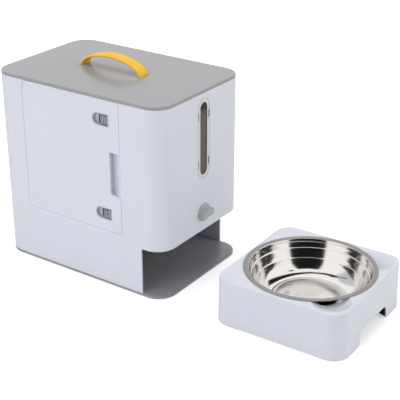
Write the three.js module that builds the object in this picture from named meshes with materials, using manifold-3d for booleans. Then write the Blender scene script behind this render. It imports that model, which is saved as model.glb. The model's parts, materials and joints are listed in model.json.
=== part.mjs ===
// Pet feeding station: a gravity feeder cabinet with a lift-off lid and a side door,
// and the bowl tray that stands in front of it.
// Millimetres, +Z up. The cabinet front faces -Y and the side door is on the -X face.
import * as THREE from 'three';
import { mergeVertices } from 'three/addons/utils/BufferGeometryUtils.js';
import Module from 'manifold-3d';

const wasm = await Module();
wasm.setup();

// general clearances
const seatGap = 0.3;
const slideGap = 0.4;
const cutOver = 6;

// cabinet
const cabinet = {
  width: 252,
  depth: 380,
  height: 365,
  cornerRadius: 36,
  wall: 1.8,
};
const cabinetHalfWidth = cabinet.width / 2;
const cabinetHalfDepth = cabinet.depth / 2;

const baseFoot = { radius: 9, height: 2.8, proud: 0.8, insetX: 22, insetY: 24 };

const basePlate = { thickness: 4.4, platformRise: 1.5, screwHead: 4, screwHeadDepth: 2.6 };
const baseBottom = baseFoot.proud;
const baseTop = baseBottom + basePlate.thickness;
const platformTop = baseTop + basePlate.platformRise;
const platformInset = cabinet.wall + seatGap;

const lidSize = { thickness: 5.5, edgeRound: 1.5, skirtWall: 2, skirtHeight: 5.6, skirtInset: 6 };
const lidBottom = cabinet.height - lidSize.thickness;
const shellBottom = baseTop + seatGap;
const shellTop = lidBottom - seatGap;

// open bay under the overhanging front
const bay = { overhang: 96, postFromFront: 46.5, cornerFillet: 3, depth: 248 };
const bayPostY = -cabinetHalfDepth + bay.postFromFront;
const bayBackY = -cabinetHalfDepth + bay.depth;

const liner = { wall: 0.9, ceilingRise: 2.4, ceilingThickness: 1.6 };
const linerHalfWidth = cabinetHalfWidth - platformInset;
const ceilingBottom = bay.overhang + liner.ceilingRise;
const ceilingTop = ceilingBottom + liner.ceilingThickness;

const boss = {
  radius: 5,
  hole: 2.1,
  height: 25,
  web: 3,
  behindBay: 12,
  sideInset: 12,
  rearSideInset: 30,
  rearInset: 12,
};
const baseScrew = { shank: 1.8, head: 3.8, headHeight: 2.2, reach: 20 };

// side door
const door = {
  fromFront: 89.3,
  bottom: 111.2,
  topGap: 0.6,
  frontSeam: 0.6,
  bottomSeam: 0.5,
  hingeFromRear: 70.5,
  hingeDepth: 1.5,
  knuckle: 2.05,
  swingGap: 0.4,
};
const doorFrontY = -cabinetHalfDepth + door.fromFront;
const doorHingeY = cabinetHalfDepth - door.hingeFromRear;
const doorTop = lidBottom - door.topGap;
const doorMidZ = (door.bottom + doorTop) / 2;
const doorOuterX = -cabinetHalfWidth;
const doorInnerX = doorOuterX + cabinet.wall;
const hingeX = doorOuterX + door.hingeDepth;
const jambRadius = door.knuckle + door.swingGap;
const hingeJambY = doorHingeY + Math.sqrt(jambRadius ** 2 - door.hingeDepth ** 2);

const hingePin = { radius: 0.6, bore: 0.9, inBoss: 6, inDoor: 10 };
const hingeBoss = { height: 6.6, halfLength: 3, depth: 4.4, jambReach: 7, swingGap: 0.8 };

const fingerPull = {
  length: 22.5,
  height: 82,
  belowMid: 11.05,
  depth: 9,
  flat: 4,
  edgeDepth: 0.5,
  wall: 1.6,
  corner: 6,
};
const pullRearY = doorFrontY + fingerPull.length;
const pullBottom = doorMidZ - fingerPull.belowMid - fingerPull.height / 2;
const pullTop = pullBottom + fingerPull.height;

const latch = {
  frontInset: 23.3,
  length: 33.4,
  halfHeight: 10,
  depth: 5.5,
  wall: 1.2,
  flangeLip: 2.6,
  flangeBack: 0.3,
  belowDoorTop: 36.9,
  aboveDoorBottom: 32.3,
  travel: 9,
};
const latchFrontY = doorFrontY + latch.frontInset;
const latchRearY = latchFrontY + latch.length;
const slider = {
  length: 18,
  halfHeight: 9.2,
  cornerRadius: 3,
  sunk: 0.3,
  ribHeight: 1,
  ribWidth: 1.5,
  ribs: 5,
  stemLength: 4,
  stemHalfHeight: 3,
  stemBehindFront: 7,
  plate: 2,
  plateHalfHeight: 6,
  tongueReach: 3,
};
const keeper = {
  outer: 5,
  depth: 11,
  frontGap: 0.8,
  length: 14,
  pocketDepth: 10.5,
  pocketGap: 0.6,
  overPocket: 9,
  armHeight: 13,
  armBelowRim: 2.5,
};

// sight window and knob
const axleAboveBase = 126.6;
const axleZ = baseTop + axleAboveBase;
const bezel = { halfWidth: 17.5, aboveAxle: 68.2, belowTop: 16.5, openHalf: 10.5, ring: 6.2 };
const bezelBottom = axleZ + bezel.aboveAxle;
const bezelTop = cabinet.height - bezel.belowTop;
const sightBottom = bezelBottom + bezel.ring;
const sightTop = bezelTop - bezel.ring;
const bezelLens = { lip: 0.7, rebate: 3, thickness: 1.1 };
const bezelSlot = { x: 15.5, width: 1.9, height: 14.5, fromTop: 30.3, fromBottom: 28.8 };
const bezelSlotHeights = [bezelTop - bezelSlot.fromTop, bezelBottom + bezelSlot.fromBottom];

const knob = { radius: 16.5, disc: 4.3, grip: 8, gripHalfHeight: 6, socket: 8.6, edge: 0.8 };
const axle = { radius: 4, bore: 4.35, runBore: 4.5, tail: 5 };
const bush = { radius: 7, flange: 10, flangeThickness: 1.8, length: 7 };

// dispenser
const drum = {
  fromFront: 10,
  length: 60,
  radius: 27.5,
  wall: 1.8,
  neckHalf: 22.5,
  neckRise: 36.2,
  neckBack: 1.8,
  outletHalf: 14,
  outletBack: 6,
  flangeHalf: 40,
  flange: 2.5,
};
const drumFrontY = -cabinetHalfDepth + drum.fromFront;
const drumBackY = drumFrontY + drum.length;
const drumNeckTop = axleZ + drum.neckRise;
const drumCap = { thickness: 2 };
const paddle = { hub: 9, radius: 26.3, blade: 2.2, blades: 6, endGap: 0.9 };
const clip = { radius: 7.5, thickness: 2 };

// food hopper
const hopper = {
  wall: 2.4,
  leftInset: 22,
  rightInset: 6,
  frontGap: 0.6,
  reach: 250,
  topGap: 34.5,
  straight: 17,
  kneeRise: 28,
  neckGap: 0.8,
  shoulder: 4,
  spigot: 10,
};
const hopperLeftX = -cabinetHalfWidth + hopper.leftInset;
const hopperRightX = cabinetHalfWidth - hopper.rightInset;
const hopperBackY = -cabinetHalfDepth + hopper.reach;
const hopperTop = lidBottom - hopper.topGap;
const hopperTaperTop = hopperTop - hopper.straight;
const hopperNeckTop = drumNeckTop + hopper.shoulder;
const hopperNeckBottom = hopperNeckTop - hopper.spigot;
const hopperKnee = hopperNeckTop + hopper.kneeRise;

// lid furniture
const strap = { centreY: 9.8, halfSpan: 70, rise: 28.5, width: 24.3, thickness: 4.7, edge: 1.4, toe: 9, toeHeight: 2.2 };
const strapSlot = { halfWidth: 14.5, gap: 0.5 };
const clamp = { halfWidth: 24, halfDepth: 9, thickness: 2.5, bossRadius: 3.6, bossX: 19 };
const lidScrew = { shank: 1.5, head: 3, headHeight: 1.6, hole: 1.9, pilot: 1.8, reach: 5 };
const gasket = { height: 3, drop: 1.2, gap: 0.4 };

// bowl tray
const tray = {
  gapFromCabinet: 103.5,
  turn: 1.3,
  width: 244.8,
  depth: 241,
  height: 87,
  cornerRadius: 27.5,
  cornerFlare: 3.5,
  edgeRound: 3,
  sideFlare: 0.2,
  frontFlare: 3.8,
  backFlare: 3.5,
  wall: 2.2,
  skin: 2.2,
  bottom: 0.6,
};
const trayCentreY = -cabinetHalfDepth - tray.gapFromCabinet - tray.depth / 2;
const traySkirt = { footLength: 46, lift: 2.2 };
const trayCut = { halfWidth: 52.5, height: 26, topRound: 12, toeRound: 6.5 };
const scoop = { offset: 82, planRadius: 34, depth: 13 };
const trayFoot = { height: 21, besideArch: 5, lean: 10, depth: 30 };
const footBlock = { fromSide: 26, fromEnd: 26, height: 5 };

const bowl = {
  rim: 116.2,
  flangeInner: 107.8,
  sheet: 0.9,
  roll: 1.5,
  bottom: 28.2,
  floorRadius: 64,
  hole: 109.8,
};

// shares of the bowl's depth and radius, from the flange down to the floor
const bowlWallShares = [
  [0.985, 0.975],
  [0.966, 0.72],
  [0.95, 0.69],
  [0.932, 0.56],
  [0.915, 0.42],
  [0.87, 0.26],
  [0.79, 0.12],
  [0.7, 0.035],
];

const cornerSteps = 8;
const roundSteps = 36;
const smallSteps = 16;
const pinSteps = 10;
const strapSteps = 24;
const bowlSteps = 48;

// helpers
function toSolid(geometry) {
  const flat = geometry.index ? geometry.toNonIndexed() : geometry.clone();
  flat.deleteAttribute('normal');
  flat.deleteAttribute('uv');
  const merged = mergeVertices(flat, 1e-4);
  return new wasm.Manifold(new wasm.Mesh({
    numProp: 3,
    vertProperties: new Float32Array(merged.attributes.position.array),
    triVerts: new Uint32Array(merged.index.array),
  }));
}

function toGeometry(solid) {
  const mesh = solid.getMesh();
  const geometry = new THREE.BufferGeometry();
  const stride = mesh.numProp;
  const count = mesh.vertProperties.length / stride;
  const positions = new Float32Array(count * 3);
  for (let i = 0; i < count; i += 1) {
    for (let k = 0; k < 3; k += 1) positions[i * 3 + k] = mesh.vertProperties[i * stride + k];
  }
  geometry.setAttribute('position', new THREE.BufferAttribute(positions, 3));
  geometry.setIndex(new THREE.BufferAttribute(new Uint32Array(mesh.triVerts), 1));
  geometry.computeVertexNormals();
  return geometry;
}

function box(x0, x1, y0, y1, z0, z1) {
  const geometry = new THREE.BoxGeometry(x1 - x0, y1 - y0, z1 - z0);
  geometry.translate((x0 + x1) / 2, (y0 + y1) / 2, (z0 + z1) / 2);
  return toSolid(geometry);
}

// outline extruded along +Z from z0 to z1
function slab(points, z0, z1) {
  const shape = new THREE.Shape(points);
  const geometry = new THREE.ExtrudeGeometry(shape, { depth: z1 - z0, bevelEnabled: false });
  geometry.translate(0, 0, z0);
  return toSolid(geometry);
}

// outline in X and Z extruded along +Y from y0 to y1
function slabY(points, y0, y1) {
  const shape = new THREE.Shape(points);
  const geometry = new THREE.ExtrudeGeometry(shape, { depth: y1 - y0, bevelEnabled: false });
  geometry.rotateX(Math.PI / 2);
  geometry.translate(0, y1, 0);
  return toSolid(geometry);
}

// outline in Y and Z extruded along +X from x0 to x1
function slabX(points, x0, x1) {
  const shape = new THREE.Shape(points);
  const geometry = new THREE.ExtrudeGeometry(shape, { depth: x1 - x0, bevelEnabled: false });
  geometry.rotateX(Math.PI / 2);
  geometry.rotateZ(Math.PI / 2);
  geometry.translate(x0, 0, 0);
  return toSolid(geometry);
}

// round bar along Z, Y or X
function barZ(x, y, radius, z0, z1, steps = smallSteps) {
  const geometry = new THREE.CylinderGeometry(radius, radius, z1 - z0, steps);
  geometry.rotateX(Math.PI / 2);
  geometry.translate(x, y, (z0 + z1) / 2);
  return toSolid(geometry);
}

function barY(x, z, radius, y0, y1, steps = smallSteps) {
  const geometry = new THREE.CylinderGeometry(radius, radius, y1 - y0, steps);
  geometry.translate(x, (y0 + y1) / 2, z);
  return toSolid(geometry);
}

function arcPoints(x, y, radius, from, to, steps) {
  const points = [];
  for (let i = 0; i <= steps; i += 1) {
    const angle = from + ((to - from) * i) / steps;
    points.push(new THREE.Vector2(x + radius * Math.cos(angle), y + radius * Math.sin(angle)));
  }
  return points;
}

function roundedOutline(x0, x1, y0, y1, radius, steps = cornerSteps) {
  const turn = Math.PI / 2;
  return [
    ...arcPoints(x1 - radius, y1 - radius, radius, 0, turn, steps),
    ...arcPoints(x0 + radius, y1 - radius, radius, turn, 2 * turn, steps),
    ...arcPoints(x0 + radius, y0 + radius, radius, 2 * turn, 3 * turn, steps),
    ...arcPoints(x1 - radius, y0 + radius, radius, 3 * turn, 4 * turn, steps),
  ];
}

function cabinetOutline(inset) {
  return roundedOutline(
    -cabinetHalfWidth + inset,
    cabinetHalfWidth - inset,
    -cabinetHalfDepth + inset,
    cabinetHalfDepth - inset,
    cabinet.cornerRadius - inset,
  );
}

// upright slot with round ends, in X and Z
function stadium(halfWidth, bottom, top) {
  return [
    ...arcPoints(0, top - halfWidth, halfWidth, 0, Math.PI, roundSteps / 2),
    ...arcPoints(0, bottom + halfWidth, halfWidth, Math.PI, 2 * Math.PI, roundSteps / 2),
  ];
}

// closed skin over rings of equal point count, capped by a fan at each end
function loft(rings) {
  const size = rings[0].length;
  const positions = [];
  for (const ring of rings) {
    for (const point of ring) positions.push(point.x, point.y, point.z);
  }
  const index = [];
  for (let r = 0; r + 1 < rings.length; r += 1) {
    for (let i = 0; i < size; i += 1) {
      const a = r * size + i;
      const b = r * size + ((i + 1) % size);
      index.push(a, b, b + size, a, b + size, a + size);
    }
  }
  const last = (rings.length - 1) * size;
  for (let i = 1; i + 1 < size; i += 1) {
    index.push(0, i + 1, i);
    index.push(last, last + i, last + i + 1);
  }
  const geometry = new THREE.BufferGeometry();
  geometry.setAttribute('position', new THREE.BufferAttribute(new Float32Array(positions), 3));
  geometry.setIndex(index);
  return toSolid(geometry);
}

function ringAt(points, z) {
  return points.map((point) => new THREE.Vector3(point.x, point.y, z));
}

// closed profile of [radius, height] pairs turned about Z
function turned(profile, steps) {
  const points = profile.map(([radius, height]) => new THREE.Vector2(radius, height));
  const geometry = new THREE.LatheGeometry(points, steps);
  geometry.rotateX(Math.PI / 2);
  const solid = toSolid(geometry);
  return solid;
}

const nodes = [];

function piece(name, solid, colour, roughness, metalness = 0, opacity = 1) {
  const material = new THREE.MeshStandardMaterial({ color: colour, roughness, metalness });
  if (opacity < 1) {
    material.transparent = true;
    material.opacity = opacity;
  }
  const mesh = new THREE.Mesh(toGeometry(solid), material);
  mesh.name = name;
  nodes.push(mesh);
}

const white = 0xdfe2ea;
const lidGrey = 0xb3b3b4;
const baseGrey = 0x7a7b7e;
const darkGrey = 0x4a4b4e;
const midGrey = 0x98999b;
const yellow = 0xffc63c;
const steel = 0xc8c8c8;
const black = 0x222224;
const cream = 0xe6e2d8;

// base plate and its feet
const baseFootPlaces = [
  [-1, -1],
  [1, -1],
  [-1, 1],
  [1, 1],
].map(([sx, sy]) => [
  sx * (cabinetHalfWidth - baseFoot.insetX - baseFoot.radius),
  sy * (cabinetHalfDepth - baseFoot.insetY - baseFoot.radius),
]);

const sideBossX = cabinetHalfWidth - boss.sideInset;
const sideBossY = bayBackY + boss.behindBay;
const rearBossX = cabinetHalfWidth - boss.rearSideInset;
const rearBossY = cabinetHalfDepth - boss.rearInset;
const bossPlaces = [
  [-sideBossX, sideBossY],
  [sideBossX, sideBossY],
  [-rearBossX, rearBossY],
  [rearBossX, rearBossY],
];

let plateSolid = slab(cabinetOutline(0), baseBottom, baseTop);
plateSolid = plateSolid.add(slab(cabinetOutline(platformInset), baseBottom, platformTop));
for (const [x, y] of baseFootPlaces) {
  const pocketTop = baseFoot.height + seatGap;
  plateSolid = plateSolid.subtract(barZ(x, y, baseFoot.radius + seatGap, -cutOver, pocketTop, smallSteps));
}
for (const [x, y] of bossPlaces) {
  plateSolid = plateSolid.subtract(barZ(x, y, baseScrew.shank + slideGap, -cutOver, platformTop + cutOver));
  const counterTop = baseBottom + basePlate.screwHeadDepth;
  plateSolid = plateSolid.subtract(barZ(x, y, basePlate.screwHead + slideGap, -cutOver, counterTop));
}
piece('base_plate', plateSolid, baseGrey, 0.55);

const footNames = ['front_left', 'front_right', 'rear_left', 'rear_right'];
baseFootPlaces.forEach(([x, y], i) => {
  piece(`cabinet_foot_${footNames[i]}`, barZ(x, y, baseFoot.radius, 0, baseFoot.height), black, 0.9);
});

const screwNames = ['side_left', 'side_right', 'rear_left', 'rear_right'];
bossPlaces.forEach(([x, y], i) => {
  const headTop = baseBottom + basePlate.screwHeadDepth - seatGap;
  const headBottom = headTop - baseScrew.headHeight;
  let screw = barZ(x, y, baseScrew.head, headBottom, headTop, smallSteps);
  screw = screw.add(barZ(x, y, baseScrew.shank, headBottom, platformTop + baseScrew.reach, pinSteps));
  piece(`base_screw_${screwNames[i]}`, screw, steel, 0.35, 1);
});

// outer shell
let shellSolid = slab(cabinetOutline(0), shellBottom, shellTop);
shellSolid = shellSolid.subtract(slab(cabinetOutline(cabinet.wall), -cutOver, shellTop + cutOver));

// bosses for the base screws, webbed to the walls
const bossBottom = platformTop + seatGap;
const bossTop = bossBottom + boss.height;
const wallRoot = cabinet.wall / 2;
bossPlaces.forEach(([x, y], i) => {
  let post = barZ(x, y, boss.radius, bossBottom, bossTop);
  if (i < 2) {
    const side = Math.sign(x);
    const wallX = side * (cabinetHalfWidth - wallRoot);
    post = post.add(box(Math.min(x, wallX), Math.max(x, wallX), y - boss.web / 2, y + boss.web / 2, bossBottom, bossTop));
  } else {
    post = post.add(box(x - boss.web / 2, x + boss.web / 2, y, cabinetHalfDepth - wallRoot, bossBottom, bossTop));
  }
  shellSolid = shellSolid.add(post);
});
for (const [x, y] of bossPlaces) {
  shellSolid = shellSolid.subtract(barZ(x, y, boss.hole, -cutOver, bossTop + cutOver, pinSteps));
}

// bay mouth, with a small radius where the posts meet the overhang
const mouthFar = -cabinetHalfDepth - cutOver;
const mouthTop = bay.overhang;
const mouthOutline = [
  new THREE.Vector2(mouthFar, -cutOver),
  new THREE.Vector2(bayPostY, -cutOver),
  ...arcPoints(bayPostY - bay.cornerFillet, mouthTop - bay.cornerFillet, bay.cornerFillet, 0, Math.PI / 2, 4),
  new THREE.Vector2(mouthFar, mouthTop),
];
shellSolid = shellSolid.subtract(slabX(mouthOutline, -cabinetHalfWidth - cutOver, cabinetHalfWidth + cutOver));

// door opening, open to the top edge, hollowed round the hinge line at its rear
const jambFrontY = doorFrontY - door.frontSeam;
const sillZ = door.bottom - door.bottomSeam;
const openingCut = box(
  doorOuterX - cutOver,
  doorInnerX + cutOver,
  jambFrontY,
  doorHingeY,
  sillZ,
  shellTop + cutOver,
);
shellSolid = shellSolid.subtract(openingCut);
shellSolid = shellSolid.subtract(barZ(hingeX, doorHingeY, jambRadius, sillZ, shellTop + cutOver, roundSteps));

// hinge bosses: one under the door, one over its notched rear corner
const hingeBossX1 = doorOuterX + hingeBoss.depth;
const lowerBossTop = sillZ - seatGap;
const upperBossTop = lidBottom - lidSize.skirtHeight - slideGap;
const upperBossBottom = upperBossTop - hingeBoss.height;
const barrelTop = upperBossBottom - slideGap;
shellSolid = shellSolid.add(box(
  doorOuterX,
  hingeBossX1,
  doorHingeY - hingeBoss.halfLength,
  doorHingeY + hingeBoss.halfLength,
  lowerBossTop - hingeBoss.height,
  lowerBossTop,
));
shellSolid = shellSolid.add(box(
  doorOuterX,
  hingeBossX1,
  doorHingeY - hingeBoss.halfLength + hingeBoss.swingGap,
  hingeJambY + hingeBoss.jambReach,
  upperBossBottom,
  upperBossTop,
));
shellSolid = shellSolid.add(box(
  doorOuterX,
  doorInnerX,
  doorHingeY - hingeBoss.halfLength + hingeBoss.swingGap,
  hingeJambY + hingeBoss.jambReach,
  upperBossBottom,
  shellTop,
));
const pinBottom = lowerBossTop - hingePin.inBoss;
const pinTop = upperBossBottom + hingePin.inBoss;
shellSolid = shellSolid.subtract(barZ(hingeX, doorHingeY, hingePin.bore, pinBottom - seatGap, lowerBossTop + cutOver, pinSteps));
shellSolid = shellSolid.subtract(barZ(hingeX, doorHingeY, hingePin.bore, barrelTop - slideGap, pinTop + seatGap, pinSteps));

// window and knob holes in the front wall
const frontY = -cabinetHalfDepth;
const frontInnerY = frontY + cabinet.wall;
const bezelHole = stadium(bezel.halfWidth + seatGap, bezelBottom - seatGap, bezelTop + seatGap);
shellSolid = shellSolid.subtract(slabY(bezelHole, frontY - cutOver, frontInnerY + cutOver));
shellSolid = shellSolid.subtract(barY(0, axleZ, bush.radius + seatGap, frontY - cutOver, frontInnerY + cutOver, roundSteps));
piece('body_shell', shellSolid, white, 0.32);

// bay liner
const linerWallY0 = bayPostY + seatGap;
const linerWallY1 = bayBackY + liner.wall;
const linerBottom = platformTop + seatGap;
const ceilingOutline = roundedOutline(
  -linerHalfWidth,
  linerHalfWidth,
  -cabinetHalfDepth + platformInset,
  linerWallY1 + cabinet.cornerRadius,
  cabinet.cornerRadius - platformInset,
);
let linerSolid = slab(ceilingOutline, ceilingBottom, ceilingTop);
linerSolid = linerSolid.add(box(-linerHalfWidth, linerHalfWidth, linerWallY0, linerWallY1, linerBottom, ceilingTop));
linerSolid = linerSolid.subtract(box(
  -linerHalfWidth - cutOver,
  linerHalfWidth + cutOver,
  linerWallY1,
  linerWallY1 + cabinet.cornerRadius + cutOver,
  linerBottom - cutOver,
  ceilingTop + cutOver,
));
linerSolid = linerSolid.subtract(box(
  -linerHalfWidth + liner.wall,
  linerHalfWidth - liner.wall,
  linerWallY0 - cutOver,
  bayBackY,
  linerBottom - cutOver,
  ceilingBottom,
));
const spoutWall = drum.wall;
const spoutHalfX = drum.outletHalf + spoutWall;
const spoutY0 = drumFrontY + drum.outletBack - spoutWall;
const spoutY1 = drumBackY - drum.outletBack + spoutWall;
linerSolid = linerSolid.subtract(box(
  -spoutHalfX - seatGap,
  spoutHalfX + seatGap,
  spoutY0 - seatGap,
  spoutY1 + seatGap,
  ceilingBottom - cutOver,
  ceilingTop + cutOver,
));
piece('bay_liner', linerSolid, darkGrey, 0.6);

// window bezel and lens
const bezelBackY = frontInnerY + seatGap;
let bezelSolid = slabY(stadium(bezel.halfWidth, bezelBottom, bezelTop), frontY, bezelBackY);
const sightHole = stadium(bezel.openHalf, sightBottom, sightTop);
bezelSolid = bezelSolid.subtract(slabY(sightHole, frontY - cutOver, bezelBackY + cutOver));
const rebateHole = stadium(
  bezel.openHalf + bezelLens.rebate,
  sightBottom - bezelLens.rebate,
  sightTop + bezelLens.rebate,
);
const lipBackY = frontY + bezelLens.lip;
bezelSolid = bezelSolid.subtract(slabY(rebateHole, lipBackY, bezelBackY + cutOver));
for (const side of [-1, 1]) {
  for (const z of bezelSlotHeights) {
    bezelSolid = bezelSolid.subtract(box(
      side * bezelSlot.x - bezelSlot.width / 2,
      side * bezelSlot.x + bezelSlot.width / 2,
      frontY - cutOver,
      bezelBackY + cutOver,
      z - bezelSlot.height / 2,
      z + bezelSlot.height / 2,
    ));
  }
}
piece('window_bezel', bezelSolid, cream, 0.4);

const lensEdge = bezelLens.rebate - seatGap;
const lensOutline = stadium(bezel.openHalf + lensEdge, sightBottom - lensEdge, sightTop + lensEdge);
const lensFrontY = lipBackY + seatGap;
piece('window_lens', slabY(lensOutline, lensFrontY, lensFrontY + bezelLens.thickness), 0x5c5a55, 0.08, 0, 0.55);

// food hopper
const hopperFrontY = frontInnerY + hopper.frontGap;
const neckHalfX = drum.neckHalf - hopper.neckGap;
const neckY0 = drumFrontY + drum.wall + drum.neckBack + hopper.neckGap;
const neckY1 = drumBackY - drum.neckBack - hopper.neckGap;

function hopperRing(share, frontShare, inset, z) {
  const mix = (a, b, t) => a + (b - a) * t;
  const x0 = mix(hopperLeftX, -neckHalfX, share) + inset;
  const x1 = mix(hopperRightX, neckHalfX, share) - inset;
  const y0 = mix(hopperFrontY, neckY0, frontShare) + inset;
  const y1 = mix(hopperBackY, neckY1, share) - inset;
  return [
    new THREE.Vector3(x1, y1, z),
    new THREE.Vector3(x0, y1, z),
    new THREE.Vector3(x0, y0, z),
    new THREE.Vector3(x1, y0, z),
  ];
}
const kneeShare = (hopperTaperTop - hopperKnee) / (hopperTaperTop - hopperNeckTop);
const hopperOuter = loft([
  hopperRing(1, 1, 0, hopperNeckBottom),
  hopperRing(1, 1, 0, hopperNeckTop),
  hopperRing(kneeShare, 0, 0, hopperKnee),
  hopperRing(0, 0, 0, hopperTaperTop),
  hopperRing(0, 0, 0, hopperTop),
]);
const hopperInner = loft([
  hopperRing(1, 1, hopper.wall, hopperNeckBottom - cutOver),
  hopperRing(1, 1, hopper.wall, hopperNeckTop),
  hopperRing(kneeShare, 0, hopper.wall, hopperKnee),
  hopperRing(0, 0, hopper.wall, hopperTaperTop),
  hopperRing(0, 0, hopper.wall, hopperTop + cutOver),
]);
const hopperSkinInset = cabinet.wall + hopper.frontGap;
const hopperSkin = slab(cabinetOutline(hopperSkinInset), 0, cabinet.height);
const hopperCore = slab(cabinetOutline(hopperSkinInset + hopper.wall), -cutOver, cabinet.height + cutOver);
const hopperSolid = hopperOuter.intersect(hopperSkin).subtract(hopperInner.intersect(hopperCore));
piece('food_hopper', hopperSolid, 0x6b645c, 0.5);

// dispenser drum
const flangeBottom = ceilingTop + seatGap;
const drumOuter = drum.radius + drum.wall;
let drumSolid = barY(0, axleZ, drumOuter, drumFrontY, drumBackY, roundSteps);
drumSolid = drumSolid.add(box(-drum.flangeHalf, drum.flangeHalf, drumFrontY, drumBackY, flangeBottom, flangeBottom + drum.flange));
drumSolid = drumSolid.add(box(-spoutHalfX, spoutHalfX, spoutY0, spoutY1, ceilingBottom + seatGap, axleZ - drum.radius / 2));
const neckOuterHalf = drum.neckHalf + drum.wall;
drumSolid = drumSolid.add(box(-neckOuterHalf, neckOuterHalf, drumFrontY, drumBackY, axleZ, drumNeckTop));
const drumInnerY0 = drumFrontY + drum.wall;
drumSolid = drumSolid.subtract(barY(0, axleZ, drum.radius, drumInnerY0, drumBackY + cutOver, roundSteps));
drumSolid = drumSolid.subtract(box(
  -drum.neckHalf,
  drum.neckHalf,
  drumInnerY0 + drum.neckBack,
  drumBackY - drum.neckBack,
  axleZ,
  drumNeckTop + cutOver,
));
drumSolid = drumSolid.subtract(box(
  -drum.outletHalf,
  drum.outletHalf,
  spoutY0 + spoutWall,
  spoutY1 - spoutWall,
  ceilingBottom - cutOver,
  axleZ,
));
drumSolid = drumSolid.subtract(barY(0, axleZ, axle.runBore, drumFrontY - cutOver, drumBackY, smallSteps));
piece('dispenser_drum', drumSolid, midGrey, 0.5);

const capY0 = drumBackY + seatGap;
const capY1 = capY0 + drumCap.thickness;
const capSolid = barY(0, axleZ, drumOuter, capY0, capY1, roundSteps)
  .subtract(barY(0, axleZ, axle.runBore, capY0 - cutOver, capY1 + cutOver));
piece('drum_cap', capSolid, midGrey, 0.5);

// paddle wheel on the axle
const paddleY0 = drumInnerY0 + paddle.endGap;
const paddleY1 = drumBackY - paddle.endGap;
let paddleSolid = barY(0, axleZ, paddle.hub, paddleY0, paddleY1);
for (let i = 0; i < paddle.blades; i += 1) {
  const blade = new THREE.BoxGeometry(paddle.radius, paddleY1 - paddleY0, paddle.blade);
  blade.translate(paddle.radius / 2, (paddleY0 + paddleY1) / 2, 0);
  blade.rotateY((i * 2 * Math.PI) / paddle.blades + Math.PI / paddle.blades);
  blade.translate(0, 0, axleZ);
  paddleSolid = paddleSolid.add(toSolid(blade));
}
const hexSides = 6;
paddleSolid = paddleSolid.subtract(barY(0, axleZ, axle.bore, paddleY0 - cutOver, paddleY1 + cutOver, hexSides));
piece('paddle_wheel', paddleSolid, 0x6f7175, 0.75);

// knob: round plate with a grip bar across it
const knobBackY = frontY - seatGap;
const knobFaceY = knobBackY - knob.disc;
const knobFrontY = knobFaceY - knob.grip;
let knobSolid = barY(0, axleZ, knob.radius - knob.edge, knobFaceY, knobBackY, roundSteps);
knobSolid = knobSolid.add(barY(0, axleZ, knob.radius, knobFaceY + knob.edge, knobBackY, roundSteps));
const gripBar = box(-knob.radius, knob.radius, knobFrontY, knobBackY, axleZ - knob.gripHalfHeight, axleZ + knob.gripHalfHeight)
  .intersect(barY(0, axleZ, knob.radius, knobFrontY, knobBackY, roundSteps));
knobSolid = knobSolid.add(gripBar);
const socketFrontY = knobBackY - knob.socket;
knobSolid = knobSolid.subtract(barY(0, axleZ, axle.bore, socketFrontY, knobBackY + cutOver, hexSides));
piece('dispenser_knob', knobSolid, midGrey, 0.5);

const clipY0 = capY1 + seatGap;
const clipY1 = clipY0 + clip.thickness;
const axleSolid = barY(0, axleZ, axle.radius, socketFrontY + seatGap, clipY1 + axle.tail, hexSides);
piece('dispenser_axle', axleSolid, steel, 0.35, 1);
const clipSolid = barY(0, axleZ, clip.radius, clipY0, clipY1)
  .subtract(barY(0, axleZ, axle.bore, clipY0 - cutOver, clipY1 + cutOver, hexSides));
piece('axle_clip', clipSolid, steel, 0.4, 1);

const bushY0 = frontY + seatGap;
const bushY1 = bushY0 + bush.length;
const bushFlangeY0 = frontInnerY + seatGap;
const bushSolid = barY(0, axleZ, bush.radius, bushY0, bushY1)
  .add(barY(0, axleZ, bush.flange, bushFlangeY0, bushFlangeY0 + bush.flangeThickness, roundSteps))
  .subtract(barY(0, axleZ, axle.runBore, bushY0 - cutOver, bushY1 + cutOver));
piece('axle_bush', bushSolid, black, 0.5);

// side door
const doorPlateRear = doorHingeY;
let doorSolid = box(doorOuterX, doorInnerX, doorFrontY, doorPlateRear, door.bottom, doorTop);
doorSolid = doorSolid.subtract(box(
  doorOuterX - cutOver,
  doorInnerX + cutOver,
  doorHingeY - hingeBoss.halfLength,
  doorHingeY + cutOver,
  barrelTop,
  doorTop + cutOver,
));
const knuckle = barZ(hingeX, doorHingeY, door.knuckle, door.bottom, barrelTop, roundSteps);
doorSolid = doorSolid.add(knuckle.intersect(box(
  doorOuterX,
  hingeX + door.knuckle,
  doorHingeY - door.knuckle,
  doorHingeY + door.knuckle,
  door.bottom,
  barrelTop,
)));

// ramped finger pull, open at the door's free edge
const pullCorner = fingerPull.corner;
function pullOutline(grow) {
  const rear = pullRearY + grow;
  const low = pullBottom - grow;
  const high = pullTop + grow;
  const front = doorFrontY - cutOver;
  return [
    new THREE.Vector2(front, low),
    ...arcPoints(rear - pullCorner, low + pullCorner, pullCorner, -Math.PI / 2, 0, 4),
    new THREE.Vector2(rear, high),
    new THREE.Vector2(front, high),
  ];
}
function pullWedge(grow, outerX) {
  const rear = pullRearY + grow;
  const deep = doorOuterX + fingerPull.depth + grow;
  const edge = doorOuterX + fingerPull.edgeDepth + grow;
  const outline = [
    new THREE.Vector2(outerX, doorFrontY - cutOver),
    new THREE.Vector2(edge, doorFrontY - cutOver),
    new THREE.Vector2(edge, doorFrontY),
    new THREE.Vector2(deep, pullRearY - fingerPull.flat),
    new THREE.Vector2(deep, rear),
    new THREE.Vector2(outerX, rear),
  ];
  return slab(outline, pullBottom - cutOver, pullTop + cutOver);
}
const pullFar = doorOuterX + fingerPull.depth + cutOver;
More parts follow.
